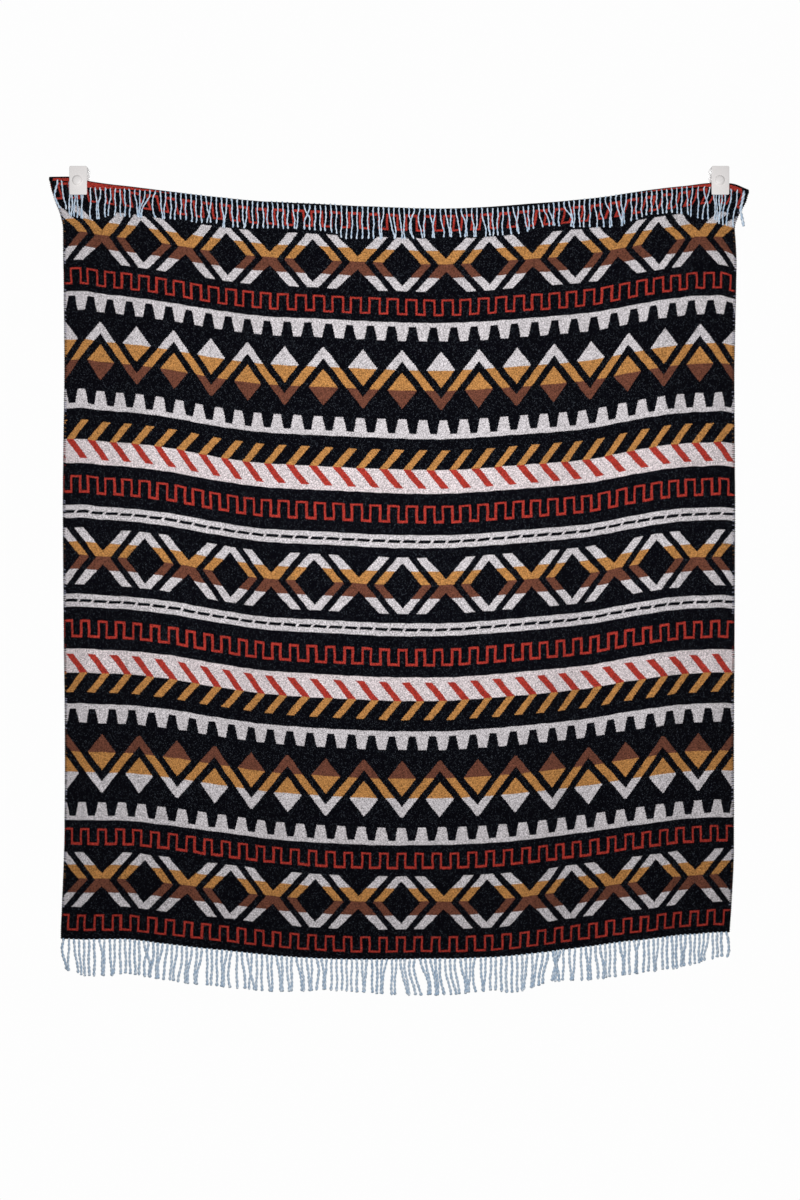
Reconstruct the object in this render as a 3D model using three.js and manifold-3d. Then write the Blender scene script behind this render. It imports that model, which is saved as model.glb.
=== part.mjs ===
// A throw blanket with a fringe at each end, hung by its top corners from two wall clips.
// Millimetres, +Z up, +X to the viewer's right. The wall is the plane Y = 0 and the front faces -Y.
// The origin is the centre of the left clip's back face.
import * as THREE from "three";
import { mergeVertices } from "three/addons/utils/BufferGeometryUtils.js";
import Module from "manifold-3d";

const wasm = await Module();
wasm.setup();

// The cloth, as it was woven
const CLOTH_WIDTH = 1264;
const CLOTH_THICKNESS = 2.6;
const HALF_WIDTH = CLOTH_WIDTH / 2;

// Where the cloth hangs
const CLIP_SPACING = 1166;
const CLOTH_MIDDLE_X = CLIP_SPACING / 2;
const HANGING_PLANE_Y = -26;

// The top hem turns forward over a small roll
const ROLL_RADIUS = 1.9;
const ROLL_STEPS = 3;

// The mesh of the sheet
const COLUMNS = 46;
const ROWS = 22;
const ACROSS_STEP = 6;

// The fringes
const TOP_STRANDS = 137;
const BOTTOM_STRANDS = 136;
const STRAND_RADIUS = 2.1;
const STRIP_HEIGHT = 3;
const ROOT_DEPTH = 1.2;
const PIECE_GAP = 0.35;
const END_SPREAD = 1.5;
const STRAND_CLEARANCE = 1.1;
const STRAND_STATIONS = [0, 0.5, 1];
const STRAND_LEAN = { together: 1.3, alone: 1.6 };

// The clips
const CLIP_WIDTH = 32;
const CLIP_HEIGHT = 52;
const CLIP_DEPTH = 36;
const CLIP_CORNER_RADIUS = 2.5;
const CLIP_EDGE_BEVEL = 0.8;
const SLOT_FRONT_Y = -32.6;
const SLOT_BACK_Y = -24.3;
const SLOT_TOP_Z = 12;
const BUTTON_RADIUS = 8.6;
const BUTTON_RISE = 3.6;
const BUTTON_SUNK = 1;
const BUTTON_SHIFT_X = -1.5;
const BUTTON_RINGS = 3;
const BUTTON_SIDES = 18;

// Heights of the cloth at places across it, in mm from the clips' middle: its top fold, its hem,
// how far a row half way down lies above a straight mix of the two, and how far the turned hem reaches.
const ACROSS = [
  { u: -632, top: 8.0, hem: -1380, raise: 5.0, lip: 4.0 },
  { u: -600, top: 8.4, hem: -1380, raise: 5.0, lip: 6.0 },
  { u: -566, top: 1.0, hem: -1379.5, raise: 5.5, lip: 9.5 },
  { u: -520, top: -6.0, hem: -1379, raise: 5.8, lip: 5.5 },
  { u: -440, top: -15.7, hem: -1385.5, raise: 5.0, lip: 1.5 },
  { u: -350, top: -25.5, hem: -1397.5, raise: 0.5, lip: 0.8 },
  { u: -250, top: -36.6, hem: -1408.5, raise: -1.5, lip: 0.8 },
  { u: -150, top: -42.3, hem: -1413, raise: -0.5, lip: 0.8 },
  { u: 0, top: -47.3, hem: -1416.5, raise: 0.0, lip: 0.8 },
  { u: 80, top: -49.3, hem: -1416, raise: 0.0, lip: 0.8 },
  { u: 160, top: -47.2, hem: -1412, raise: 0.0, lip: 0.8 },
  { u: 250, top: -40.8, hem: -1404.5, raise: -0.5, lip: 0.8 },
  { u: 350, top: -30.0, hem: -1396, raise: -1.0, lip: 0.8 },
  { u: 440, top: -17.9, hem: -1381.5, raise: 1.5, lip: 0.8 },
  { u: 520, top: -8.4, hem: -1372.5, raise: 4.2, lip: 1.6 },
  { u: 566, top: -3.3, hem: -1370, raise: 3.5, lip: 5.4 },
  { u: 600, top: -3.8, hem: -1367.5, raise: 2.7, lip: 9.0 },
  { u: 632, top: -15.0, hem: -1368, raise: 5.0, lip: 5.0 },
];

// Where the strands end, at places across the cloth: the height of the upper ends, and how far
// the lower ones reach below the hem.
const STRAND_ENDS = [
  { u: -632, upper: -48, lower: 56 },
  { u: -608, upper: -53, lower: 61 },
  { u: -594, upper: -63, lower: 66 },
  { u: -560, upper: -69.5, lower: 67 },
  { u: -538, upper: -70, lower: 66 },
  { u: -525, upper: -64, lower: 63 },
  { u: -495, upper: -66.5, lower: 63 },
  { u: -392, upper: -70.5, lower: 66.5 },
  { u: -372, upper: -75, lower: 67 },
  { u: -335, upper: -75, lower: 67 },
  { u: -318, upper: -84, lower: 67 },
  { u: -255, upper: -86, lower: 67 },
  { u: -180, upper: -89, lower: 61.5 },
  { u: -145, upper: -92, lower: 56.5 },
  { u: -115, upper: -96, lower: 57.5 },
  { u: -98, upper: -106, lower: 58 },
  { u: 0, upper: -104.5, lower: 65 },
  { u: 85, upper: -102, lower: 67 },
  { u: 140, upper: -101, lower: 62 },
  { u: 180, upper: -101, lower: 61 },
  { u: 210, upper: -96, lower: 66 },
  { u: 243, upper: -88.5, lower: 65 },
  { u: 260, upper: -82, lower: 63 },
  { u: 300, upper: -83, lower: 56 },
  { u: 350, upper: -84, lower: 60.5 },
  { u: 405, upper: -80, lower: 62 },
  { u: 427, upper: -71, lower: 61 },
  { u: 450, upper: -62, lower: 60 },
  { u: 508, upper: -59.5, lower: 59.5 },
  { u: 525, upper: -63, lower: 60 },
  { u: 545, upper: -69, lower: 57.5 },
  { u: 570, upper: -71, lower: 53.5 },
  { u: 590, upper: -80, lower: 51 },
  { u: 610, upper: -82.5, lower: 46 },
  { u: 632, upper: -80, lower: 44 },
];

// The selvedges, in mm from the cloth's middle, at distances down from its top fold.
const EDGES = [
  { down: 0, left: -636, right: 635 },
  { down: 20, left: -632, right: 630 },
  { down: 45, left: -624, right: 616.5 },
  { down: 68, left: -615.5, right: 609.5 },
  { down: 92, left: -611, right: 611.5 },
  { down: 130, left: -611, right: 613 },
  { down: 200, left: -610, right: 612 },
  { down: 330, left: -609, right: 609.5 },
  { down: 600, left: -612, right: 611 },
  { down: 830, left: -610.5, right: 610 },
  { down: 1040, left: -608.5, right: 609 },
  { down: 1200, left: -609.5, right: 609 },
  { down: 1300, left: -613, right: 604.5 },
  { down: 1366, left: -616, right: 600 },
];

// Soft upright folds: where each runs at the top and the hem, its half width, and how far it
// stands forward there and half way down. A negative depth is a trough.
const FOLDS = [
  { topU: -640, hemU: -640, half: 60, top: -3, middle: -7, hem: -9 },
  { topU: -505, hemU: -430, half: 95, top: 5, middle: 12, hem: 10 },
  { topU: -350, hemU: -285, half: 90, top: -5, middle: -13, hem: -8 },
  { topU: -170, hemU: -130, half: 110, top: 6, middle: 9, hem: 8 },
  { topU: 30, hemU: 50, half: 105, top: -4, middle: -6, hem: -8 },
  { topU: 215, hemU: 215, half: 100, top: 6, middle: 12, hem: 9 },
  { topU: 370, hemU: 350, half: 85, top: -6, middle: -13, hem: -10 },
  { topU: 500, hemU: 480, half: 80, top: 4, middle: 11, hem: 12 },
  { topU: 640, hemU: 640, half: 60, top: -3, middle: -8, hem: -8 },
];

// The cloth lies flat in the clips and for this far round them.
const CLIP_REACH = { flat: 44, free: 125 };

const MATERIALS = {
  cloth: new THREE.MeshStandardMaterial({ color: 0x1b1a20, roughness: 0.95, metalness: 0 }),
  yarn: new THREE.MeshStandardMaterial({ color: 0xb4c9da, roughness: 0.95, metalness: 0 }),
  clip: new THREE.MeshStandardMaterial({ color: 0xdedbd8, roughness: 0.45, metalness: 0 }),
};

function clamp(value, low, high) {
  return Math.min(Math.max(value, low), high);
}

function smoothStep(low, high, value) {
  const t = clamp((value - low) / (high - low), 0, 1);
  return t * t * (3 - 2 * t);
}

// A smooth curve through one column of a table, flat where the table turns round.
function readTable(table, key, column, at) {
  const last = table.length - 1;
  const x = clamp(at, table[0][key], table[last][key]);
  let i = 0;
  while (i < last - 1 && x > table[i + 1][key]) {
    i += 1;
  }
  const step = (j) => table[j + 1][key] - table[j][key];
  const slope = (j) => (table[j + 1][column] - table[j][column]) / step(j);
  const tangent = (j) => {
    if (j === 0) {
      return slope(0);
    }
    if (j === last) {
      return slope(last - 1);
    }
    const before = slope(j - 1);
    const after = slope(j);
    return before * after <= 0 ? 0 : (2 * before * after) / (before + after);
  };
  const h = step(i);
  const t = (x - table[i][key]) / h;
  const a = table[i][column];
  const b = table[i + 1][column];
  return a + t * h * tangent(i) * (1 - t) * (1 - t)
    + (b - a) * t * t * (3 - 2 * t)
    - t * t * (1 - t) * h * tangent(i + 1);
}

// A repeatable uneven number from 0 to 1.
function uneven(index, salt) {
  const wave = Math.sin(index * 12.9898 + salt * 78.233) * 43758.5453;
  return wave - Math.floor(wave);
}

// Height of the middle of the cloth: u mm across it, v from 0 at the top fold to 1 at the hem.
function heightAt(u, v) {
  const top = readTable(ACROSS, "u", "top", u) - CLOTH_THICKNESS / 2;
  const hem = readTable(ACROSS, "u", "hem", u);
  return top + (hem - top) * v + 4 * v * (1 - v) * readTable(ACROSS, "u", "raise", u);
}

// How far forward the cloth stands there.
function depthAt(u, v) {
  let forward = 0;
  for (const fold of FOLDS) {
    const centre = fold.topU + (fold.hemU - fold.topU) * v;
    const from = clamp(Math.abs(u - centre) / fold.half, 0, 1);
    const straight = fold.top + (fold.hem - fold.top) * v;
    const belly = fold.middle - (fold.top + fold.hem) / 2;
    const size = straight + 4 * v * (1 - v) * belly;
    forward += size * Math.cos((Math.PI / 2) * from) ** 2;
  }
  const down = -heightAt(u, v);
  const aside = Math.abs(Math.abs(u) - CLOTH_MIDDLE_X);
  const away = Math.hypot(aside, Math.max(down, 0));
  return HANGING_PLANE_Y - forward * smoothStep(CLIP_REACH.flat, CLIP_REACH.free, away);
}

// Distances across the cloth in front view, shortened where a fold turns it away.
function spanTo(u, v) {
  const steps = Math.max(1, Math.ceil(Math.abs(u) / ACROSS_STEP));
  const du = u / steps;
  let span = 0;
  let before = depthAt(0, v);
  for (let i = 1; i <= steps; i += 1) {
    const here = depthAt(i * du, v);
    span += Math.sqrt(du * du - (here - before) ** 2);
    before = here;
  }
  return span;
}

const fullSpans = new Map();

function sideways(u, v) {
  const side = u < 0 ? -HALF_WIDTH : HALF_WIDTH;
  const key = `${side} ${v}`;
  if (!fullSpans.has(key)) {
    fullSpans.set(key, spanTo(side, v));
  }
  const down = heightAt(side, 0) - heightAt(side, v);
  const reach = readTable(EDGES, "down", u < 0 ? "left" : "right", down);
  const share = spanTo(Math.abs(u) * Math.sign(side), v) / fullSpans.get(key);
  return CLOTH_MIDDLE_X + Math.abs(reach) * share * Math.sign(side);
}

// The middle surface of the sheet at v.
function sheetPoint(u, v) {
  return new THREE.Vector3(sideways(u, v), depthAt(u, v), heightAt(u, v));
}

// One upright section of the sheet: up to the roll, over it and down the turned hem. Each point
// keeps the direction in which the back of the cloth lies from it.
function sheetSection(u) {
  const section = [];
  const top = sheetPoint(u, 0);
  const rollShare = ROLL_RADIUS / (top.z - heightAt(u, 1));
  for (let row = ROWS; row >= 0; row -= 1) {
    const v = rollShare + (1 - rollShare) * (row / ROWS);
    section.push({ at: sheetPoint(u, v), back: new THREE.Vector3(0, 1, 0) });
  }
  const start = section[section.length - 1].at;
  const centre = new THREE.Vector3(start.x, start.y - ROLL_RADIUS, start.z);
  for (let step = 1; step <= ROLL_STEPS; step += 1) {
    const angle = (Math.PI * step) / ROLL_STEPS;
    const back = new THREE.Vector3(0, Math.cos(angle), Math.sin(angle));
    section.push({ at: centre.clone().addScaledVector(back, ROLL_RADIUS), back });
  }
  const front = section[section.length - 1];
  const end = front.at.clone();
  end.z -= readTable(ACROSS, "u", "lip", u);
  section.push({ at: end, back: front.back });
  return section;
}

// A closed skin round a list of sections, each a ring of points.
function loft(rings) {
  const count = rings[0].length;
  const positions = [];
  for (const ring of rings) {
    for (const point of ring) {
      positions.push(point.x, point.y, point.z);
    }
  }
  const faces = [];
  for (let r = 0; r < rings.length - 1; r += 1) {
    for (let k = 0; k < count; k += 1) {
      const a = r * count + k;
      const b = r * count + ((k + 1) % count);
      faces.push(a, b, b + count, a, b + count, a + count);
    }
  }
  return { positions, faces, count };
}

// Caps an end ring by joining it across, two points at a time.
function capAcross(skin, ring, turned) {
  const first = ring * skin.count;
  const half = skin.count / 2;
  for (let k = 0; k < half - 1; k += 1) {
    const a = first + k;
    const b = first + k + 1;
    const c = first + skin.count - 2 - k;
    const d = first + skin.count - 1 - k;
    if (turned) {
      skin.faces.push(a, b, c, a, c, d);
    } else {
      skin.faces.push(a, c, b, a, d, c);
    }
  }
}

function toGeometry(positions, faces) {
  const geometry = new THREE.BufferGeometry();
  geometry.setAttribute("position", new THREE.Float32BufferAttribute(positions, 3));
  geometry.setIndex(faces);
  return geometry;
}

function toSolid(geometry) {
  const bare = new THREE.BufferGeometry();
  bare.setAttribute("position", geometry.getAttribute("position"));
  if (geometry.index) {
    bare.setIndex(geometry.index);
  }
  const merged = mergeVertices(bare, 1e-4);
  return new wasm.Manifold(new wasm.Mesh({
    numProp: 3,
    vertProperties: new Float32Array(merged.getAttribute("position").array),
    triVerts: new Uint32Array(merged.index.array),
  }));
}

function fromSolid(solid) {
  const mesh = solid.getMesh();
  return toGeometry(mesh.vertProperties, Array.from(mesh.triVerts));
}

function columnPlaces() {
  const places = [];
  for (let column = 0; column <= COLUMNS; column += 1) {
    places.push(-HALF_WIDTH + (CLOTH_WIDTH * column) / COLUMNS);
  }
  return places;
}

// A sheet of the cloth's thickness round a list of middle lines, one for each column.
function sheetGeometry(sections) {
  const half = CLOTH_THICKNESS / 2;
  const rings = sections.map((section) => {
    const back = section.map((row) => row.at.clone().addScaledVector(row.back, half));
    const face = section.map((row) => row.at.clone().addScaledVector(row.back, -half));
    return [...back, ...face.reverse()];
  });
  const skin = loft(rings);
  capAcross(skin, 0, false);
  capAcross(skin, rings.length - 1, true);
  return toGeometry(skin.positions, skin.faces);
}

const sheetSections = columnPlaces().map(sheetSection);
const bottomEdge = sheetSections.map((section) => section[0]);
const topEdge = sheetSections.map((section) => section[section.length - 1]);

// Where one meshed column of the sheet passes a height.
function columnAt(section, z) {
  let row = 0;
  while (row < ROWS - 1 && section[row + 1].at.z < z) {
    row += 1;
  }
  const low = section[row].at;
  const high = section[row + 1].at;
  return low.clone().lerp(high, clamp((z - low.z) / (high.z - low.z), 0, 1));
}

// How far forward the meshed sheet stands behind a point in front view.
function meshedDepth(x, z) {
  let column = 1;
  while (column < COLUMNS && columnAt(sheetSections[column], z).x < x) {
    column += 1;
  }
  const left = columnAt(sheetSections[column - 1], z);
  const right = columnAt(sheetSections[column], z);
  return THREE.MathUtils.lerp(left.y, right.y, clamp((x - left.x) / (right.x - left.x), 0, 1));
}

// The narrow strip below an edge of the cloth, which the strands grow from.
function stripGeometry(edge) {
  return sheetGeometry(edge.map(({ at, back }) => {
    const upper = at.clone();
    upper.z -= PIECE_GAP;
    const lower = upper.clone();
    lower.z -= STRIP_HEIGHT;
    const section = [{ at: lower, back }, { at: upper, back }];
    return back.y < 0 ? section.reverse() : section;
  }));
}

// A place along the meshed edge of the cloth.
function alongEdge(edge, u) {
  const column = ((u + HALF_WIDTH) / CLOTH_WIDTH) * COLUMNS;
  const left = Math.floor(column);
  return edge[left].at.clone().lerp(edge[left + 1].at, column - left);
}

// A three-sided strand through a list of points, flat at the back.
function strandGeometry(path) {
  const corners = [90, 210, 330].map((degrees) => {
    const angle = THREE.MathUtils.degToRad(degrees);
    return { x: Math.cos(angle) * STRAND_RADIUS, y: -Math.sin(angle) * STRAND_RADIUS };
  });
  const rings = path.map((point) => (
    corners.map((corner) => new THREE.Vector3(point.x + corner.x, point.y + corner.y, point.z))
  ));
  const skin = loft(rings);
  const last = (rings.length - 1) * skin.count;
  skin.faces.push(2, 1, 0, last, last + 1, last + 2);
  return toGeometry(skin.positions, skin.faces);
}

// How a strand hangs: neighbours lean together in uneven groups.
function strandLean(index, salt) {
  const group = Math.sin(index * 0.9 + salt) + Math.sin(index * 0.37 + 2 * salt);
  return STRAND_LEAN.together * group + STRAND_LEAN.alone * (uneven(index, salt) - 0.5);
}

function endSpread(index, salt) {
  return END_SPREAD * (2 * uneven(index, salt + 5) - 1);
}

function strandU(index, strands) {
  return -HALF_WIDTH + (CLOTH_WIDTH * (index + 0.5)) / strands;
}

// Height of a strand at a station from 0 at its root, which reaches into the strip, to 1 at its end.
function strandHeight(station, root, end) {
  return station === 0 ? root + ROOT_DEPTH : THREE.MathUtils.lerp(root, end, station);
}

// The upper strands hang from the turned hem, just in front of the cloth.
function topStrandPath(index) {
  const u = strandU(index, TOP_STRANDS);
  const edge = alongEdge(topEdge, u);
  const root = edge.z - PIECE_GAP - STRIP_HEIGHT;
  const end = readTable(STRAND_ENDS, "u", "upper", u) + endSpread(index, 1);
  const lean = strandLean(index, 1);
  const proud = CLOTH_THICKNESS / 2 + STRAND_CLEARANCE + STRAND_RADIUS / 2;
  return STRAND_STATIONS.map((station) => {
    const x = edge.x + lean * station * station;
    const z = strandHeight(station, root, end);
    const y = station === 0 ? edge.y : meshedDepth(x, z) - proud;
    return new THREE.Vector3(x, y, z);
  });
}

// The lower strands hang free from the hem.
function bottomStrandPath(index) {
  const u = strandU(index, BOTTOM_STRANDS);
  const edge = alongEdge(bottomEdge, u);
  const root = edge.z - PIECE_GAP - STRIP_HEIGHT;
  const end = edge.z - readTable(STRAND_ENDS, "u", "lower", u) + endSpread(index, 2);
  const lean = strandLean(index, 2);
  return STRAND_STATIONS.map((station) => {
    const x = edge.x + lean * station * station;
    return new THREE.Vector3(x, edge.y, strandHeight(station, root, end));
  });
}

function fringeGeometry(edge, strands, pathOf) {
  const parts = [toSolid(stripGeometry(edge))];
  for (let index = 0; index < strands; index += 1) {
    parts.push(toSolid(strandGeometry(pathOf(index))));
  }
  return fromSolid(wasm.Manifold.union(parts));
}

// A plain clip: a block on the wall, a slot for the cloth and a front plate with a round button.
function clipGeometry() {
  const w = CLIP_WIDTH / 2 - CLIP_EDGE_BEVEL;
  const h = CLIP_HEIGHT / 2 - CLIP_EDGE_BEVEL;
  const r = CLIP_CORNER_RADIUS;
  const outline = new THREE.Shape();
  outline.moveTo(-w + r, -h);
  outline.lineTo(w - r, -h);
  outline.absarc(w - r, -h + r, r, -Math.PI / 2, 0);
  outline.absarc(w - r, h - r, r, 0, Math.PI / 2);
  outline.absarc(-w + r, h - r, r, Math.PI / 2, Math.PI);
  outline.absarc(-w + r, -h + r, r, Math.PI, 1.5 * Math.PI);
  const block = new THREE.ExtrudeGeometry(outline, {
    depth: CLIP_DEPTH - 2 * CLIP_EDGE_BEVEL,
    bevelSize: CLIP_EDGE_BEVEL,
    bevelThickness: CLIP_EDGE_BEVEL,
    bevelSegments: 1,
    curveSegments: 3,
  });
  block.translate(0, 0, CLIP_EDGE_BEVEL);
  block.rotateX(Math.PI / 2);

  const slotDepth = SLOT_BACK_Y - SLOT_FRONT_Y;
  const slotHeight = SLOT_TOP_Z + CLIP_HEIGHT;
  const slot = new THREE.BoxGeometry(2 * CLIP_WIDTH, slotDepth, slotHeight);
  slot.translate(0, (SLOT_BACK_Y + SLOT_FRONT_Y) / 2, SLOT_TOP_Z - slotHeight / 2);

  const profile = [
    new THREE.Vector2(0, -BUTTON_SUNK),
    new THREE.Vector2(BUTTON_RADIUS, -BUTTON_SUNK),
  ];
  for (let ring = 0; ring < BUTTON_RINGS; ring += 1) {
    const angle = (Math.PI / 2) * (ring / BUTTON_RINGS);
    profile.push(new THREE.Vector2(BUTTON_RADIUS * Math.cos(angle), BUTTON_RISE * Math.sin(angle)));
  }
  profile.push(new THREE.Vector2(0, BUTTON_RISE));
  const button = new THREE.LatheGeometry(profile, BUTTON_SIDES);
  button.rotateX(Math.PI);
  button.translate(BUTTON_SHIFT_X, -CLIP_DEPTH, 0);
  return fromSolid(toSolid(block).subtract(toSolid(slot)).add(toSolid(button)));
}

function named(name, geometry, material) {
  const mesh = new THREE.Mesh(geometry, material);
  mesh.name = name;
  return mesh;
}

const blanket = new THREE.Group();
blanket.add(named("blanket_cloth", sheetGeometry(sheetSections), MATERIALS.cloth));

const topFringe = fringeGeometry(topEdge, TOP_STRANDS, topStrandPath);
const bottomFringe = fringeGeometry(bottomEdge, BOTTOM_STRANDS, bottomStrandPath);
blanket.add(named("fringe_top", topFringe, MATERIALS.yarn));
blanket.add(named("fringe_bottom", bottomFringe, MATERIALS.yarn));

for (const [name, x] of [["clip_left", 0], ["clip_right", CLIP_SPACING]]) {
  const clip = named(name, clipGeometry(), MATERIALS.clip);
  clip.position.x = x;
  blanket.add(clip);
}

export default blanket;
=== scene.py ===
"""A fringed throw blanket hung by its top corners from two wall clips.

The sheet, the strands and the clips follow the frame's solids. Lengths below are in millimetres
in the frame's axes, and become metres where a mesh is made. The wall is the plane y = 0.
"""

import math

import bmesh
import bpy
import numpy as np
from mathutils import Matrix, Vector


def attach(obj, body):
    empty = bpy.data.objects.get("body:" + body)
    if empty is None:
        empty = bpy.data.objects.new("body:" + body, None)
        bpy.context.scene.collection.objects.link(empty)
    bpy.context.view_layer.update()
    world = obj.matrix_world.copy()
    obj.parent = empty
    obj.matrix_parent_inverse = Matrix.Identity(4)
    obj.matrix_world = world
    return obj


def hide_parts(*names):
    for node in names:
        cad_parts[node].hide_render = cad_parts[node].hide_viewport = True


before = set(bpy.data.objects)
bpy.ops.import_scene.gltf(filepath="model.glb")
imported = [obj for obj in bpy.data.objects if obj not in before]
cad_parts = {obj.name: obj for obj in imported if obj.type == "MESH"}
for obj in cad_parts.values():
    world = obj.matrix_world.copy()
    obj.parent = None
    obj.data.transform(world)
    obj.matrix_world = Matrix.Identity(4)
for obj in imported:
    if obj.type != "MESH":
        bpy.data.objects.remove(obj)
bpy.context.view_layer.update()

MM = 0.001

# The cloth and where it hangs
CLOTH_WIDTH = 1264.0
HALF_WIDTH = CLOTH_WIDTH / 2
CLOTH_LENGTH = 1365.0
HALF_THICK = 1.3
CLIP_SPACING = 1166.0
MIDDLE_X = CLIP_SPACING / 2
HANGING_PLANE_Y = -26.0
ROLL_RADIUS = 1.9
CLIP_REACH_FLAT = 44.0
CLIP_REACH_FREE = 125.0

# How finely the sheet is meshed
COLUMNS = 200
ROWS = 212
ROLL_STEPS = 6
LIP_STEPS = 2
SPAN_STEPS = 320


def table(columns, *rows):
    """A table with named columns."""
    values = np.array(rows, float)
    return {name: values[:, place] for place, name in enumerate(columns.split())}


def rows_of(chart):
    return [dict(zip(chart, row)) for row in zip(*chart.values())]


# Heights across the cloth: the top fold, the hem, how far a row half way down lies above
# a straight mix of the two, and how far the turned hem reaches.
ACROSS = table(
    "u top hem raise lip",
    (-632, 8.0, -1380, 5.0, 4.0),
    (-600, 8.4, -1380, 5.0, 6.0),
    (-566, 1.0, -1379.5, 5.5, 9.5),
    (-520, -6.0, -1379, 5.8, 5.5),
    (-440, -15.7, -1385.5, 5.0, 1.5),
    (-350, -25.5, -1397.5, 0.5, 0.8),
    (-250, -36.6, -1408.5, -1.5, 0.8),
    (-150, -42.3, -1413, -0.5, 0.8),
    (0, -47.3, -1416.5, 0.0, 0.8),
    (80, -49.3, -1416, 0.0, 0.8),
    (160, -47.2, -1412, 0.0, 0.8),
    (250, -40.8, -1404.5, -0.5, 0.8),
    (350, -30.0, -1396, -1.0, 0.8),
    (440, -17.9, -1381.5, 1.5, 0.8),
    (520, -8.4, -1372.5, 4.2, 1.6),
    (566, -3.3, -1370, 3.5, 5.4),
    (600, -3.8, -1367.5, 2.7, 9.0),
    (632, -15.0, -1368, 5.0, 5.0),
)

# How far below the end of its roll the turned hem is black, before the red begins. Where the
# red already shows on the roll, this is negative.
RIM = table(
    "u black",
    (-632, 30.0),
    (-629, 30.0),
    (-626, 0.4),
    (-590, 0.2),
    (-560, -1.1),
    (-450, -1.0),
    (-410, 1.1),
    (430, 1.1),
    (470, -0.8),
    (590, -1.0),
    (604, 1.2),
    (624, 1.8),
    (627, 30.0),
    (632, 30.0),
)

# The selvedges from the cloth's middle, at distances down from its top fold.
EDGES = table(
    "down left right",
    (0, -636, 635),
    (20, -632, 630),
    (45, -624, 616.5),
    (68, -615.5, 609.5),
    (92, -611, 611.5),
    (130, -611, 613),
    (200, -610, 612),
    (330, -609, 609.5),
    (600, -612, 611),
    (830, -610.5, 610),
    (1040, -608.5, 609),
    (1200, -609.5, 609),
    (1300, -613, 604.5),
    (1366, -616, 600),
)

# Soft upright folds: where each runs at the top and the hem, its half width, and how far
# it stands forward there and half way down. A negative depth is a trough.
FOLDS = table(
    "top_u hem_u half top middle hem",
    (-640, -640, 60, -3, -7, -9),
    (-505, -430, 95, 5, 12, 10),
    (-350, -285, 90, -5, -13, -8),
    (-170, -130, 110, 6, 9, 8),
    (30, 50, 105, -4, -6, -8),
    (215, 215, 100, 6, 12, 9),
    (370, 350, 85, -6, -13, -10),
    (500, 480, 80, 4, 11, 12),
    (640, 640, 60, -3, -8, -8),
)

# How far the woven design is pulled to the right of its even place, and how far it is lifted,
# in millimetres at each quarter of the cloth's height
QUARTERS = ("top", "upper", "middle", "lower", "hem")
DESIGN_PULL = table(
    "u top upper middle lower hem",
    (-632, -3.0, -2.4, -1.0, -1.9, -4.0),
    (-556, -3.0, -4.0, -1.3, -1.9, -3.4),
    (-397, -5.6, -5.0, 0.9, 1.2, -0.4),
    (-238, -4.7, -6.0, -1.5, -0.2, 0.9),
    (-79, 0.9, 1.0, 3.9, 3.6, 2.2),
    (79, 7.9, 8.3, 7.7, 6.0, 3.2),
    (238, 12.3, 9.9, 8.2, 7.1, 6.7),
    (397, 15.7, 10.9, 8.0, 7.0, 8.0),
    (556, 9.0, 6.9, 5.4, 4.5, 4.3),
    (632, 7.0, 5.6, 4.5, 3.8, 3.5),
)
DESIGN_LIFT = table(
    "u top upper middle lower hem",
    (-632, 1.0, 1.5, 5.0, 6.0, 4.0),
    (-545, 3.0, 2.5, 5.5, 6.5, 4.0),
    (-400, 1.0, 3.0, 6.5, 8.0, 5.0),
    (-250, 0.0, 2.0, 5.5, 7.0, 4.5),
    (-110, 0.0, 1.0, 3.5, 4.0, 2.5),
    (0, 0.0, 0.5, 1.5, 1.5, 1.5),
    (75, 0.0, 0.5, 2.0, 2.0, 1.0),
    (220, 0.0, 0.5, 4.0, 4.5, 1.5),
    (365, 0.0, 0.5, 4.0, 5.0, 3.0),
    (510, 1.5, 1.0, 3.5, 4.0, 3.0),
    (566, 4.0, 1.0, 3.0, 4.0, 3.0),
    (632, 4.0, 6.0, 6.0, 4.0, 2.0),
)
DESIGN_CENTRE = 685.0
DESIGN_SWING = 2.6

# Fine unevenness of the hanging sheet
WRINKLES = table(
    "across down deep",
    (61, 190, 0.55),
    (37, 83, 0.35),
    (23, 47, 0.22),
    (15, 29, 0.12),
)
LINE_WOBBLE = 0.55

# The fringes
STRAND_STATIONS = 42
STRAND_SIDES = 10
TOP_YARN = 1.2
BOTTOM_YARN = 2.1
PLY_DEPTH = 0.3
TWIST_PITCH = 15.0
END_SPREAD = 1.0
LEAN_TOGETHER = 0.5
LEAN_ALONE = 1.6

# Places along the edges where some of the numbered strands leave the cloth
TOP_ROOTS = table(
    "number x",
    (0, -38.7),
    (1, -30.5),
    (2, -17.0),
    (7, 8.1),
    (8, 21.2),
    (10, 39.8),
    (17, 102.4),
    (23, 158.4),
    (31, 231.6),
    (39, 307.1),
    (48, 390.1),
    (51, 420.9),
    (64, 545.0),
    (75, 648.0),
    (86, 752.6),
    (93, 817.1),
    (102, 900.8),
    (112, 995.8),
    (124, 1105.4),
    (128, 1147.2),
    (129, 1154.7),
    (133, 1175.6),
    (134, 1186.7),
    (135, 1196.9),
    (136, 1209.1),
)
BOTTOM_ROOTS = table(
    "number x",
    (0, -28.7),
    (12, 84.2),
    (24, 188.1),
    (35, 286.7),
    (50, 423.6),
    (66, 569.6),
    (69, 593.4),
    (87, 758.5),
    (98, 862.8),
    (101, 882.4),
    (104, 914.8),
    (114, 1001.1),
    (128, 1120.8),
    (135, 1178.5),
)

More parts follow.
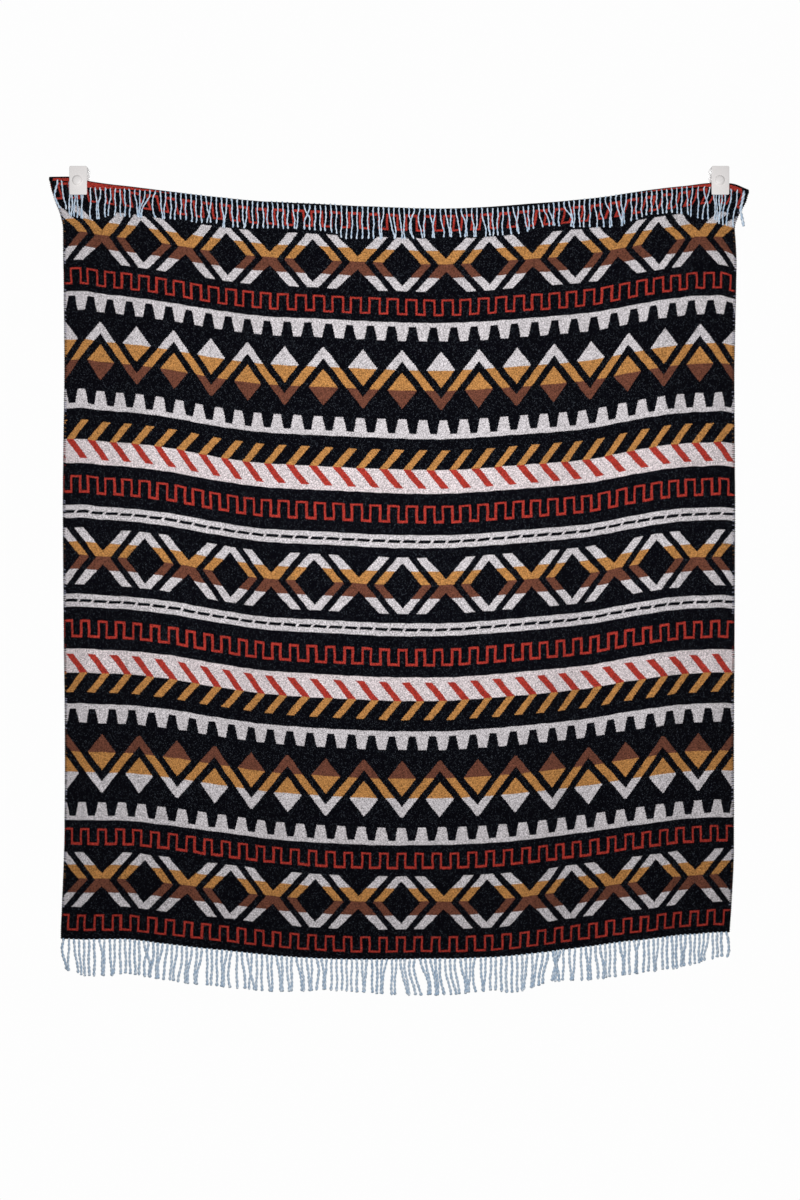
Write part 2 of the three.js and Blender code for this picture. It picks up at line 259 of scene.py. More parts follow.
# Where the strands end, at places across the cloth: the height of the upper ends, and how far
# the lower ones reach below the hem.
STRAND_ENDS = table(
    "u upper lower",
    (-632, -48, 56),
    (-608, -53, 61),
    (-594, -63, 66),
    (-560, -69.5, 67),
    (-538, -70, 66),
    (-525, -64, 63),
    (-495, -66.5, 63),
    (-392, -70.5, 66.5),
    (-372, -75, 67),
    (-335, -75, 67),
    (-318, -84, 67),
    (-255, -86, 67),
    (-180, -89, 61.5),
    (-145, -92, 56.5),
    (-115, -96, 57.5),
    (-98, -106, 58),
    (0, -104.5, 65),
    (85, -102, 67),
    (140, -101, 62),
    (180, -101, 61),
    (210, -96, 66),
    (243, -88.5, 65),
    (260, -82, 63),
    (300, -83, 56),
    (350, -84, 60.5),
    (405, -80, 62),
    (427, -71, 61),
    (450, -62, 60),
    (508, -59.5, 59.5),
    (525, -63, 60),
    (545, -69, 57.5),
    (570, -71, 53.5),
    (590, -80, 51),
    (610, -82.5, 46),
    (632, -80, 44),
)

# Strands that have swung together or aside, by number: where the middle of their ends lies, how
# far down they meet, how far apart they end, and how far they bow aside on the way. A negative
# spread has them cross.
GATHER_COLUMNS = "first last end meet spread bow"
TOP_GATHERS = table(
    GATHER_COLUMNS,
    (0, 0, -35.0, 1.0, 0.0, -6.0),
    (1, 1, -23.4, 1.0, 0.0, 0.0),
    (6, 7, 5.9, 0.5, 0.3, 0.0),
    (9, 10, 34.7, 0.6, 0.25, 0.0),
    (12, 12, 52.6, 1.0, 0.0, 1.5),
    (17, 20, 111.1, 0.85, 0.2, 0.0),
    (21, 21, 141.3, 1.0, 0.0, -6.7),
    (22, 23, 153.5, 1.0, 0.35, 0.0),
    (31, 32, 236.0, 1.0, -0.6, 0.0),
    (34, 35, 264.0, 0.7, 0.3, 0.0),
    (38, 39, 301.5, 1.0, 0.3, 0.0),
    (42, 42, 336.6, 1.0, 0.0, 0.0),
    (48, 49, 395.2, 1.0, 0.3, 0.0),
    (50, 51, 416.0, 0.6, -0.9, 0.0),
    (64, 65, 549.0, 0.8, 0.25, 0.0),
    (66, 67, 575.2, 1.0, 0.25, 0.0),
    (68, 68, 587.2, 0.6, 0.0, 0.0),
    (70, 71, 609.8, 0.4, -0.15, -7.0),
    (72, 72, 626.5, 1.0, 0.0, -4.0),
    (74, 75, 645.0, 0.9, -0.4, 0.0),
    (76, 76, 663.7, 0.8, 0.0, 0.0),
    (77, 78, 675.8, 0.8, 0.25, 0.0),
    (79, 79, 693.5, 0.8, 0.0, 0.0),
    (80, 81, 704.5, 0.4, 0.25, 0.0),
    (82, 83, 721.3, 1.0, 0.3, 0.0),
    (84, 86, 747.3, 1.0, 0.65, 0.0),
    (89, 89, 786.3, 1.0, 0.0, 0.0),
    (90, 91, 798.0, 0.8, -0.3, 0.0),
    (92, 93, 817.1, 1.0, 0.3, 0.0),
    (95, 95, 842.6, 1.0, 0.0, 0.0),
    (96, 97, 860.2, 1.0, 0.7, 0.0),
    (100, 102, 899.2, 0.7, 0.25, 0.0),
    (106, 106, 944.5, 1.0, 0.0, 0.0),
    (107, 107, 955.2, 1.0, 0.0, 0.0),
    (108, 109, 968.1, 0.5, 0.2, 0.0),
    (110, 112, 989.3, 0.8, 0.25, 0.0),
    (124, 125, 1110.3, 1.0, 0.35, 0.0),
    (127, 128, 1140.1, 0.7, -0.88, 0.0),
    (129, 130, 1159.0, 1.0, 0.5, 0.0),
    (132, 133, 1167.7, 1.0, 1.2, 0.0),
    (134, 134, 1177.4, 1.0, 0.0, 0.0),
    (135, 135, 1189.6, 1.0, 0.0, 0.0),
    (136, 136, 1209.0, 1.0, 0.0, -4.0),
)
BOTTOM_GATHERS = table(
    GATHER_COLUMNS,
    (0, 0, -23.2, 1.0, 0.0, -5.0),
    (2, 4, 3.5, 1.0, 0.7, 0.0),
    (7, 8, 44.1, 0.5, 0.3, 0.0),
    (9, 10, 61.8, 1.0, 0.45, 0.0),
    (16, 17, 124.6, 0.7, -1.0, 0.0),
    (18, 18, 130.0, 1.0, 0.0, 2.0),
    (19, 20, 143.9, 0.7, 0.3, 0.0),
    (21, 21, 154.8, 1.0, 0.0, 0.0),
    (22, 23, 170.1, 1.0, 0.6, 0.0),
    (24, 24, 181.5, 1.0, 0.0, 2.0),
    (25, 26, 196.6, 0.9, 0.35, 0.0),
    (27, 28, 213.0, 0.9, 0.3, 0.0),
    (32, 33, 261.1, 0.7, 0.3, 0.0),
    (34, 34, 274.9, 1.0, 0.0, -5.0),
    (36, 36, 302.2, 1.0, 0.0, 0.0),
    (37, 38, 313.7, 1.0, -0.9, 0.0),
    (41, 42, 348.8, 1.0, 0.45, 0.0),
    (43, 44, 368.8, 0.8, 0.3, 0.0),
    (45, 45, 382.1, 1.0, 0.0, 0.0),
    (47, 48, 407.8, 0.9, 0.3, 0.0),
    (49, 50, 422.3, 0.95, 0.35, 0.0),
    (51, 51, 432.1, 1.0, 0.0, 4.0),
    (52, 53, 447.4, 0.6, 0.3, 0.0),
    (60, 61, 518.6, 0.7, 0.3, 0.0),
    (64, 65, 551.0, 0.6, 0.3, 0.0),
    (67, 67, 574.3, 1.0, 0.0, 0.0),
    (68, 69, 599.8, 0.9, 0.45, -3.0),
    (70, 70, 612.9, 1.0, 0.0, -4.0),
    (71, 71, 624.0, 1.0, 0.0, -6.0),
    (72, 73, 637.4, 0.7, 0.35, 0.0),
    (74, 75, 651.1, 0.7, 0.35, 0.0),
    (76, 76, 664.2, 1.0, 0.0, -3.0),
    (77, 77, 676.8, 1.0, 0.0, -2.0),
    (78, 79, 690.0, 1.0, 0.75, -3.0),
    (80, 82, 706.8, 0.85, 0.35, 0.0),
    (83, 83, 723.0, 1.0, 0.0, -6.0),
    (84, 85, 735.7, 1.0, 0.3, 0.0),
    (92, 93, 807.6, 1.0, 0.3, 0.0),
    (94, 95, 825.3, 1.0, 0.3, 0.0),
    (96, 96, 836.2, 1.0, 0.0, 0.0),
    (97, 97, 843.1, 1.0, 0.0, 0.0),
    (98, 100, 867.7, 1.0, -1.0, 0.0),
    (102, 103, 898.0, 1.0, 0.35, 0.0),
    (105, 105, 928.6, 1.0, 0.0, 0.0),
    (107, 107, 945.6, 1.0, 0.0, 0.0),
    (108, 109, 957.4, 0.8, 0.4, 0.0),
    (112, 113, 991.1, 0.6, 0.3, 0.0),
    (115, 116, 1013.3, 0.6, -0.35, 0.0),
    (119, 120, 1047.0, 1.0, 0.35, 0.0),
    (123, 123, 1080.8, 1.0, 0.0, 0.0),
    (125, 126, 1098.5, 0.9, 0.5, 0.0),
    (129, 131, 1133.0, 1.0, 0.6, 0.0),
    (135, 135, 1179.8, 1.0, 0.0, 5.0),
)
HANG_STATIONS = 9

# A few upper strands curl up over the edge here
CURLED = (-234.0, -102.0)

# The clips
CLIP_WIDTH = 32.0
CLIP_HEIGHT = 52.0
CLIP_DEPTH = 36.0
CLIP_CORNER = 2.5
CLIP_EDGE = 0.8
SLOT_FRONT_Y = -32.6
SLOT_BACK_Y = -24.3
SLOT_TOP_Z = 12.0
BUTTON_RADIUS = 8.6
BUTTON_RISE = 3.6
BUTTON_SHIFT_X = -1.5


def smooth_step(low, high, value):
    t = np.clip((value - low) / (high - low), 0.0, 1.0)
    return t * t * (3 - 2 * t)


def read_table(chart, key, column, at):
    """A smooth curve through one column of a table, flat where the table turns round."""
    places = chart[key]
    values = chart[column]
    steps = np.diff(places)
    slopes = np.diff(values) / steps
    product = slopes[:-1] * slopes[1:]
    total = slopes[:-1] + slopes[1:]
    turning = product <= 0
    inner = np.where(turning, 0.0, 2 * product / np.where(turning, 1.0, total))
    tangents = np.concatenate([slopes[:1], inner, slopes[-1:]])
    x = np.clip(at, places[0], places[-1])
    i = np.clip(np.searchsorted(places, x) - 1, 0, len(places) - 2)
    h = steps[i]
    t = (x - places[i]) / h
    low = values[i] + t * h * tangents[i] * (1 - t) * (1 - t)
    rise = (values[i + 1] - values[i]) * t * t * (3 - 2 * t)
    return low + rise - t * t * (1 - t) * h * tangents[i + 1]


def uneven(index, salt):
    """A repeatable uneven number from 0 to 1."""
    wave = np.sin(index * 12.9898 + salt * 78.233) * 43758.5453
    return wave - np.floor(wave)


def height_at(u, v):
    top = read_table(ACROSS, "u", "top", u) - HALF_THICK
    hem = read_table(ACROSS, "u", "hem", u)
    return top + (hem - top) * v + 4 * v * (1 - v) * read_table(ACROSS, "u", "raise", u)


def wrinkle_at(u, v):
    """Small soft unevenness in depth, made of a few crossed waves."""
    down = v * CLOTH_LENGTH
    depth = 0.0
    for number, wave in enumerate(rows_of(WRINKLES)):
        turn = 2 * math.pi
        bend = np.sin(turn * (down / (3.1 * wave["down"]) + uneven(number, 3)))
        across = turn * (u / wave["across"] + uneven(number, 1)) + 1.7 * bend
        along = turn * (down / wave["down"] + 0.35 * u / wave["across"] + uneven(number, 2))
        depth = depth + wave["deep"] * np.sin(across) * np.sin(along)
    return depth


def depth_at(u, v):
    """How far forward the middle of the cloth stands."""
    forward = 0.0
    for fold in rows_of(FOLDS):
        centre = fold["top_u"] + (fold["hem_u"] - fold["top_u"]) * v
        away = np.clip(np.abs(u - centre) / fold["half"], 0, 1)
        straight = fold["top"] + (fold["hem"] - fold["top"]) * v
        belly = fold["middle"] - (fold["top"] + fold["hem"]) / 2
        size = straight + 4 * v * (1 - v) * belly
        forward = forward + size * np.cos(math.pi / 2 * away) ** 2
    down = np.maximum(-height_at(u, v), 0)
    aside = np.abs(np.abs(u) - MIDDLE_X)
    free = smooth_step(CLIP_REACH_FLAT, CLIP_REACH_FREE, np.hypot(aside, down))
    return HANGING_PLANE_Y - (forward + wrinkle_at(u, v)) * free


def selvedge_reach(side, v):
    """How far the left (-1) or right (1) selvedge lies from the cloth's middle."""
    corner = side * HALF_WIDTH
    down = height_at(corner, 0.0) - height_at(corner, v)
    return np.abs(read_table(EDGES, "down", "left" if side < 0 else "right", down))


def sideways(u, v):
    """The place across, for matching arrays. Folds take up some of the cloth's width."""
    steps = np.linspace(0, 1, SPAN_STEPS + 1)
    places = np.zeros(np.shape(u))
    for side in (-1, 1):
        chosen = (u < 0) if side < 0 else (u >= 0)
        across = np.abs(u[chosen])
        down = v[chosen]
        full = steps[:, None] * side * HALF_WIDTH
        rows, which = np.unique(down, return_inverse=True)
        depth = depth_at(full, rows[None, :])
        width = HALF_WIDTH / SPAN_STEPS
        piece = np.sqrt(np.maximum(width**2 - np.diff(depth, axis=0) ** 2, 0))
        span = np.concatenate([np.zeros((1, len(rows))), np.cumsum(piece, axis=0)])
        share = span / span[-1]
        at = across / width
        low = np.clip(at.astype(int), 0, SPAN_STEPS - 1)
        part = at - low
        mixed = share[low, which] * (1 - part) + share[low + 1, which] * part
        places[chosen] = side * selvedge_reach(side, down) * mixed
    return MIDDLE_X + places


def make_mesh(name, points, faces, materials, face_materials=None, smooth=True):
    """A mesh object from points in millimetres, with its faces turned outwards."""
    mesh = bpy.data.meshes.new(name)
    mesh.from_pydata((np.asarray(points) * MM).tolist(), [], faces)
    for material in materials:
        mesh.materials.append(material)
    if face_materials is not None:
        mesh.polygons.foreach_set("material_index", np.asarray(face_materials, np.int32))
    mesh.polygons.foreach_set("use_smooth", np.full(len(mesh.polygons), smooth))
    mesh.update()
    work = bmesh.new()
    work.from_mesh(mesh)
    bmesh.ops.recalc_face_normals(work, faces=work.faces)
    work.to_mesh(mesh)
    work.free()
    thing = bpy.data.objects.new(name, mesh)
    bpy.context.scene.collection.objects.link(thing)
    return thing


def keep_vectors(thing, name, values):
    """Stores three numbers on each point of a mesh, for its material to read."""
    attribute = thing.data.attributes.new(name, "FLOAT_VECTOR", "POINT")
    attribute.data.foreach_set("vector", np.asarray(values, np.float32).ravel())


class Formula:
    """A number in a material's nodes that takes ordinary arithmetic."""

    def __init__(self, tree, socket):
        self.tree = tree
        self.socket = socket

    def made(self, operation, *others):
        node = self.tree.nodes.new("ShaderNodeMath")
        node.operation = operation
        for place, value in enumerate((self, *others)):
            if isinstance(value, Formula):
                self.tree.links.new(value.socket, node.inputs[place])
            else:
                node.inputs[place].default_value = value
        return Formula(self.tree, node.outputs[0])

    def __add__(self, other):
        return self.made("ADD", other)

    def __sub__(self, other):
        return self.made("SUBTRACT", other)

    def __mul__(self, other):
        return self.made("MULTIPLY", other)

    def __truediv__(self, other):
        return self.made("DIVIDE", other)

    def size(self):
        return self.made("ABSOLUTE")

    def floor(self):
        return self.made("FLOOR")

    def sine(self):
        return self.made("SINE")

    def above(self, limit):
        return self.made("GREATER_THAN", limit)

    def below(self, limit):
        return self.made("LESS_THAN", limit)

    def most(self, other):
        return self.made("MAXIMUM", other)

    def around(self, pitch):
        """The place within a repeat, from minus to plus half its pitch."""
        return self.made("WRAP", pitch / 2, -pitch / 2)

    def between(self, low, high):
        return self.above(low) * self.below(high)


def linear(red, green, blue):
    """A colour given in 0 to 255 display values, as the shader's linear numbers."""
    made = []
    for value in (red, green, blue):
        share = value / 255
        made.append(share / 12.92 if share <= 0.04045 else ((share + 0.055) / 1.055) ** 2.4)
    return (*made, 1.0)


BLACK = linear(1, 1, 7)
PALE_FIBRE = linear(176, 190, 206)
WHITE = linear(213, 207, 210)
PINK_WHITE = linear(225, 213, 215)
GOLD = linear(192, 135, 76)
BROWN = linear(113, 68, 53)
RED = linear(177, 57, 47)
THREAD_TINT = linear(172, 178, 200)
YARN_LIGHT = linear(232, 243, 254)
YARN_BLUE = linear(156, 189, 220)
YARN_DARK = linear(52, 70, 98)
PLASTIC = linear(247, 243, 241)
PLASTIC_CLOUD = linear(239, 234, 233)
FLOOR = linear(232, 231, 229)


def new_material(name):
    material = bpy.data.materials.new(name)
    material.use_nodes = True
    tree = material.node_tree
    return material, tree, tree.nodes["Principled BSDF"]


def mixed(tree, share, first, second, blend="MIX"):
    """A colour between two others. Each is a socket or four numbers, and share is a Formula or a number."""
    node = tree.nodes.new("ShaderNodeMix")
    node.data_type = "RGBA"
    node.blend_type = blend
    inputs = [socket for socket in node.inputs if socket.enabled]
    for socket, value in zip(inputs, (share, first, second)):
        if isinstance(value, Formula):
            tree.links.new(value.socket, socket)
        elif isinstance(value, bpy.types.NodeSocket):
            tree.links.new(value, socket)
        else:
            socket.default_value = value
    return [socket for socket in node.outputs if socket.enabled][0]


# The woven design. Distances out from its middle row, in millimetres of cloth.
DIAMOND_PITCH = 158.75
MIDDLE_BAND_HALF = 51.4
OUTER_BAND = (532.6, 629.0)
MEANDERS = [(114.5, 146.3, 4.1), (489.3, 519.1, 3.6), (642.3, 671.3, 3.6)]
MEANDER_PITCH = 32.8
MEANDER_HALF = 10.95
DASHED = (69.0, 91.8)
DASH_PITCH = 27.5
DASH_HALF = 11.4
DASH_LINE = 5.1
DASH_START = 11.8
DASH_SLANT = 0.65
SLANTS = {"strip": 167.9, "red": 176.5, "tip": 210.5, "gold": 245.7}
SLANT_PITCH = 41.8
SLANT_HALF = 7.4
SLANT_START = 8.2
SLANT_LEAN = 0.817
TEETH_PITCH = 37.3
TEETH_WIDE = 12.4
TEETH_NARROW = 7.1
INNER_TEETH = {"bar": 267.1, "root": 275.4, "tips": 300.8}
OUTER_TEETH = {"tips": 443.4, "root": 468.2, "bar": 475.8}
ZIGZAG = (320.2, 424.9)
ZIGZAG_PITCH = 140.0
ZIGZAG_RISE = 88.0
ZIGZAG_MIDDLE = 52.35
ZIGZAG_LINE_HALF = 8.5
ZIGZAG_COLOURS = (353.5, 389.9)
LOZENGE = {"half_width": 26.0, "half_height": 32.5, "near": 33.0, "far": 71.7}

# Where each zone's yarn begins, and the heights in a diamond row at which its colour changes
ZONES = {"white": 60.0, "red": 103.0, "slants": 157.0, "inner_teeth": 256.0, "zigzag": 310.0}
ZONES |= {"outer_red": 482.0, "outer_row": 526.0, "hem_red": 636.0}
ROW_STEPS = (-25.8, -2.3, 23.3)
WEAVE_ACROSS = 1.15
WEAVE_DOWN = 1.1
PALE_FLECKS = {"above": 0.88, "strength": 0.75}
DARK_FLECKS = {"above": 0.5, "strength": 1.9}
SCALLOP_DOWN = {"pitch": 2.9, "size": 0.5}
SCALLOP_ACROSS = {"pitch": 2.8, "size": 0.6}
RIM_FRONT = 6.0


def meander(across, out, low, high, line):
    """A square wave drawn with an even line."""
    away = (across - MEANDER_PITCH / 2).around(MEANDER_PITCH).size()
    inside = MEANDER_HALF - line
    outer_bar = away.below(MEANDER_HALF) * out.above(high - line)
    inner_bar = away.above(inside) * out.below(low + line)
    upright = away.between(inside, MEANDER_HALF)
    return outer_bar.most(inner_bar).most(upright) * out.between(low, high)


def dashed_stripe(across, out):
    middle = (DASHED[0] + DASHED[1]) / 2
    offset = out - middle
    place = (across - DASH_START - offset * DASH_SLANT).around(DASH_PITCH).size()
    dash = place.below(DASH_HALF) * offset.size().below(DASH_LINE / 2)
    return out.between(*DASHED) - dash


def slanted_bars(across, out):
    """Bars that lean one way inside the tip line and the other way outside it."""
    shift = (out - SLANTS["tip"]).size() * SLANT_LEAN
    return (across - SLANT_START - shift).around(SLANT_PITCH).size().below(SLANT_HALF)


def teeth(across, out, root, tips, bar):
    """A bar with a row of blunt teeth."""
    share = (out - tips) / (root - tips)
    half = share * (TEETH_WIDE - TEETH_NARROW) + TEETH_NARROW
    away = across.around(TEETH_PITCH).size()
    tooth = (half - away).above(0.0) * out.between(min(bar, tips), max(bar, tips))
    return tooth.most(out.between(min(root, bar) - 0.1, max(root, bar) + 0.1))


def diamond_row(across, rise):
    """Open diamonds with crosses between them. rise runs from 0 at the row's middle to 1 at its edge."""
    y = rise.size() * MIDDLE_BAND_HALF
    x = across.around(DIAMOND_PITCH).size()
    outside = (x + y / 1.21).below(52.2)
    ring = outside * (x + y / 1.169).above(35.6)
    from_cross = (x * -1.0) + DIAMOND_PITCH / 2
    arms = (from_cross - y / 1.229).below(12.8) * (y - from_cross * 1.07).below(12.2)
    return ring.most(arms) * rise.size().below(1.0)


def zigzag_row(across, out):
    """A plain zigzag line with a lozenge in each of its bays."""
    rise = out - ZIGZAG[0]
    away = across.around(ZIGZAG_PITCH).size()
    half = ZIGZAG_PITCH / 2
    line = (rise - ZIGZAG_MIDDLE) * (half / ZIGZAG_RISE) + away - half / 2
    zigzag = line.size().below(ZIGZAG_LINE_HALF)
    near = (rise - LOZENGE["near"]).size() / LOZENGE["half_height"] + away / LOZENGE["half_width"]
    beyond = (away * -1.0 + half) / LOZENGE["half_width"]
    far = (rise - LOZENGE["far"]).size() / LOZENGE["half_height"] + beyond
    return zigzag.most(near.below(1.0)).most(far.below(1.0)) * out.between(*ZIGZAG)


def zone_yarn(tree, down):
    """The second yarn of each zone, which draws its figures on black."""
    from_middle = down - DESIGN_CENTRE
    out = from_middle.size()
    side = from_middle.above(0.0) * -2.0 + 1.0
    outer_middle = (OUTER_BAND[0] + OUTER_BAND[1]) / 2
    is_outer = out.above(ZONES["outer_row"])
    in_outer = (out - outer_middle) * side * -1.0
    height = in_outer * is_outer + from_middle * (is_outer * -1.0 + 1.0)
    row_colour = mixed(tree, height.above(ROW_STEPS[0]), WHITE, GOLD)
    row_colour = mixed(tree, height.above(ROW_STEPS[1]), row_colour, BROWN)
    row_colour = mixed(tree, height.above(ROW_STEPS[2]), row_colour, WHITE)
    yarn = mixed(tree, out.above(ZONES["white"]), row_colour, WHITE)
    yarn = mixed(tree, out.above(ZONES["red"]), yarn, RED)
    yarn = mixed(tree, out.above(ZONES["slants"]), yarn, PINK_WHITE)
    yarn = mixed(tree, out.above(SLANTS["tip"]), yarn, GOLD)
    yarn = mixed(tree, out.above(ZONES["inner_teeth"]), yarn, WHITE)
    yarn = mixed(tree, out.above(ZONES["zigzag"]), yarn, BROWN)
    yarn = mixed(tree, out.above(ZIGZAG_COLOURS[0]), yarn, GOLD)
    yarn = mixed(tree, out.above(ZIGZAG_COLOURS[1]), yarn, WHITE)
    yarn = mixed(tree, out.above(ZONES["outer_red"]), yarn, RED)
    yarn = mixed(tree, is_outer, yarn, row_colour)
    return mixed(tree, out.above(ZONES["hem_red"]), yarn, RED)


def design_figure(across, down):
    """Where the second yarn shows on the face, and where the red bars lie over it."""
    from_middle = down - DESIGN_CENTRE
    out = from_middle.size()
    side = from_middle.above(0.0) * -2.0 + 1.0
    turned = across * side
    outer_middle = (OUTER_BAND[0] + OUTER_BAND[1]) / 2
    outer_half = (OUTER_BAND[1] - OUTER_BAND[0]) / 2
    figure = diamond_row(across, from_middle / MIDDLE_BAND_HALF)
    figure = figure.most(diamond_row(across, (out - outer_middle) / outer_half))
    for low, high, line in MEANDERS:
        figure = figure.most(meander(turned, out, low, high, line))
    figure = figure.most(dashed_stripe(turned, out))
    for row in (INNER_TEETH, OUTER_TEETH):
        figure = figure.most(teeth(turned, out, row["root"], row["tips"], row["bar"]))
    figure = figure.most(zigzag_row(turned, out))
    bars = slanted_bars(turned, out)
    figure = figure.most(bars * out.between(SLANTS["tip"], SLANTS["gold"]))
    figure = figure.most(out.between(SLANTS["strip"], SLANTS["tip"]))
    return figure, bars * out.between(SLANTS["red"], SLANTS["tip"])


def woven_colours(tree, across, down, black_from, reverse):
    """The yarn on top at a place in the design, and where that isn't black."""
    yarn = zone_yarn(tree, down)
    figure, red_bars = design_figure(across, down)
    if reverse:
        rim = down.above(black_from) * down.below(RIM_FRONT)
        figure = (figure.most(rim)) * -1.0 + 1.0
    colour = mixed(tree, figure, BLACK, yarn)
    return mixed(tree, red_bars, colour, RED), figure.most(red_bars)


def noise(tree, vector, scale, detail=2.0, roughness=0.5):
    node = tree.nodes.new("ShaderNodeTexNoise")
    node.inputs["Scale"].default_value = scale
    node.inputs["Detail"].default_value = detail
    node.inputs["Roughness"].default_value = roughness
    tree.links.new(vector, node.inputs["Vector"])
    return Formula(tree, node.outputs["Fac"])


def tinted(tree, colour, tone):
    """A colour made lighter or darker by a number about 1."""
    shade = tree.nodes.new("ShaderNodeCombineColor")
    for channel in shade.inputs:
        tree.links.new(tone.socket, channel)
    return mixed(tree, 1.0, colour, shade.outputs[0], "MULTIPLY")


def kept_vector(tree, name):
    """A stored vector and its three numbers."""
    read = tree.nodes.new("ShaderNodeAttribute")
    read.attribute_name = name
    split = tree.nodes.new("ShaderNodeSeparateXYZ")
    tree.links.new(read.outputs["Vector"], split.inputs[0])
    return read.outputs["Vector"], [Formula(tree, split.outputs[axis]) for axis in "XYZ"]


def cloth_material(name, reverse):
    """Woven wool: the design in steps of one thread, heathered yarn and the relief of a plain weave."""
    material, tree, shader = new_material(name)
    place, (across, down, black_from) = kept_vector(tree, "design")

    # Every colour change falls between two threads, and the threads bulge a little past each other
    turn_down = down * (2 * math.pi / SCALLOP_DOWN["pitch"])
    turn_across = across * (2 * math.pi / SCALLOP_ACROSS["pitch"])
    column = ((across + turn_down.sine() * SCALLOP_DOWN["size"]) / WEAVE_ACROSS).floor()
    row = ((down + turn_across.sine() * SCALLOP_ACROSS["size"]) / WEAVE_DOWN).floor()
    woven = ((column + 0.5) * WEAVE_ACROSS, (row + 0.5) * WEAVE_DOWN)
    colour, figure = woven_colours(tree, *woven, black_from, reverse)

    # Heather: pale fibres in the black and dark ones in the colours, and uneven tone
    cell = tree.nodes.new("ShaderNodeCombineXYZ")
    tree.links.new(column.socket, cell.inputs["X"])
    tree.links.new(row.socket, cell.inputs["Y"])
    speck = tree.nodes.new("ShaderNodeTexWhiteNoise")
    speck.noise_dimensions = "2D"
    tree.links.new(cell.outputs[0], speck.inputs["Vector"])
    grain = Formula(tree, speck.outputs["Value"])
    pale_fleck = (grain - PALE_FLECKS["above"]).made("MAXIMUM", 0.0) * PALE_FLECKS["strength"]
    shade = noise(tree, place, 0.6, 0.0) - DARK_FLECKS["above"]
    dark_fleck = shade.made("MAXIMUM", 0.0) * figure * DARK_FLECKS["strength"]
    fibre = mixed(tree, figure, PALE_FIBRE, BLACK)
    colour = mixed(tree, pale_fleck.most(dark_fleck), colour, fibre)
    patches = noise(tree, place, 0.45, 0.5)
    drift = noise(tree, place, 0.011, 3.0)
    colour = tinted(tree, colour, grain * 0.3 + patches * 1.7 + drift * 0.2 - 0.1)
    tree.links.new(colour, shader.inputs["Base Color"])

    # Plain weave: the two threads take turns on top
    turn = (column + row) * math.pi
    parity = (turn / 2).sine().size()
    warp = (across * (math.pi / WEAVE_ACROSS)).sine().size()
    weft = (down * (math.pi / WEAVE_DOWN)).sine().size()
    relief = warp * parity + weft * (parity * -1.0 + 1.0)
    fuzz = noise(tree, place, 1.3, 3.0, 0.6)
    bump = tree.nodes.new("ShaderNodeBump")
    bump.inputs["Strength"].default_value = 0.75
    bump.inputs["Distance"].default_value = 0.35 * MM
    tree.links.new((relief * 0.7 + fuzz * 0.6).socket, bump.inputs["Height"])
    tree.links.new(bump.outputs[0], shader.inputs["Normal"])
    shader.inputs["Roughness"].default_value = 0.95
    shader.inputs["Specular IOR Level"].default_value = 0.08
    shader.inputs["Sheen Weight"].default_value = 0.03
    shader.inputs["Sheen Roughness"].default_value = 0.5
    return material


def yarn_material(name):
    """Two-ply yarn: one ply paler than the other, with pale and dark flecks."""
    material, tree, shader = new_material(name)
    wound, (ply, along, strand) = kept_vector(tree, "yarn")
    mottle = noise(tree, wound, 0.32, 3.0, 0.65)
    blue = ply * 0.5 + mottle * 0.9 + strand * 0.25 - 0.4
    colour = mixed(tree, blue, YARN_LIGHT, YARN_BLUE)

    # The groove between the two plies is in shade
    groove = ((ply - 0.5).size() * -5.0 + 1.0).made("MAXIMUM", 0.0)
    colour = mixed(tree, groove * 0.5, colour, YARN_DARK)
    place = tree.nodes.new("ShaderNodeTexCoord").outputs["Object"]
    dark = (noise(tree, place, 420.0, 2.0) - 0.64) * 6.0
    colour = mixed(tree, dark.made("MINIMUM", 0.75).made("MAXIMUM", 0.0), colour, YARN_DARK)
    tree.links.new(colour, shader.inputs["Base Color"])
    fibres = (ply * 9.0 + along * 1.4).sine()
    bump = tree.nodes.new("ShaderNodeBump")
    bump.inputs["Strength"].default_value = 0.6
    bump.inputs["Distance"].default_value = 0.25 * MM
    tree.links.new((fibres * 0.4 + noise(tree, place, 900.0, 3.0)).socket, bump.inputs["Height"])
    tree.links.new(bump.outputs[0], shader.inputs["Normal"])
    shader.inputs["Roughness"].default_value = 0.9
    shader.inputs["Specular IOR Level"].default_value = 0.2
    shader.inputs["Sheen Weight"].default_value = 0.25
    shader.inputs["Sheen Roughness"].default_value = 0.4
    return material


def thread_material(name):
    """Overcast thread: black, or the yarn of the zone beside it, but all black beside the meanders."""
    material, tree, shader = new_material(name)
    _, (_, down, coloured) = kept_vector(tree, "design")
    out = (down - DESIGN_CENTRE).size()
    own = mixed(tree, out.between(ZONES["slants"], SLANTS["tip"]), zone_yarn(tree, down), RED)
    own = mixed(tree, 1.0, own, THREAD_TINT, "MULTIPLY")
    meanders = out.between(ZONES["red"], ZONES["slants"]).most(out.above(ZONES["hem_red"]))
    meanders = meanders.most(out.between(ZONES["outer_red"], ZONES["outer_row"]))
    colour = mixed(tree, coloured * (meanders * -1.0 + 1.0), BLACK, own)
    place = tree.nodes.new("ShaderNodeTexCoord").outputs["Object"]
    colour = tinted(tree, colour, noise(tree, place, 700.0, 2.0) * 0.5 + 0.72)
    tree.links.new(colour, shader.inputs["Base Color"])
    shader.inputs["Roughness"].default_value = 0.9
    shader.inputs["Specular IOR Level"].default_value = 0.2
    return material


